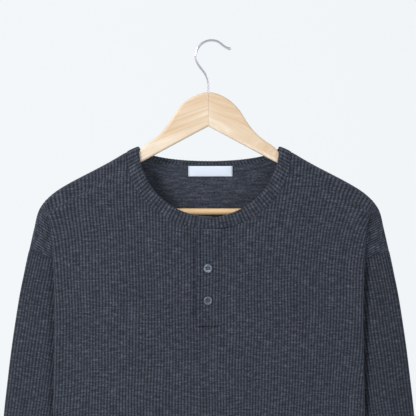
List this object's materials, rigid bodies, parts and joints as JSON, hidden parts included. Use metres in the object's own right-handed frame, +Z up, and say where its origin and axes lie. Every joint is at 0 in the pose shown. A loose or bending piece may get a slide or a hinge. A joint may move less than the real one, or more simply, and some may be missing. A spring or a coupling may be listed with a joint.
{
  "type": "henley shirt on a wooden clothes hanger",
  "caption": "Long-sleeved ribbed-knit henley with round neck, half placket and drop shoulders, hanging on a flat wooden hanger with a trouser bar.",
  "frame": {"origin": "the inside of the hook at its highest point, where it hangs on a rail, nail or cord", "axes": "+X across the shirt to the wearer's left, +Z up, and the front of the shirt faces -Y"},
  "size_m": [0.6088, 0.079, 0.8535],
  "materials": {
    "knit": "matt ribbed cotton knit, charcoal heather",
    "label": "woven satin label, bare",
    "button": "matt cast resin",
    "wood": "pale natural wood, satin lacquer",
    "steel": "bright plated wire"
  },
  "bodies": {
    "root": {"front": "knit", "back": "knit", "sleeve_left": "knit", "sleeve_right": "knit", "neckband": "knit", "placket_under": "knit", "placket_upper": "knit", "neck_label": "label", "button_top": "button", "button_bottom": "button", "hanger_arm_left": "wood", "hanger_arm_right": "wood", "hanger_bar": "wood", "hanger_hook": "steel"}
  },
  "joints": []
}
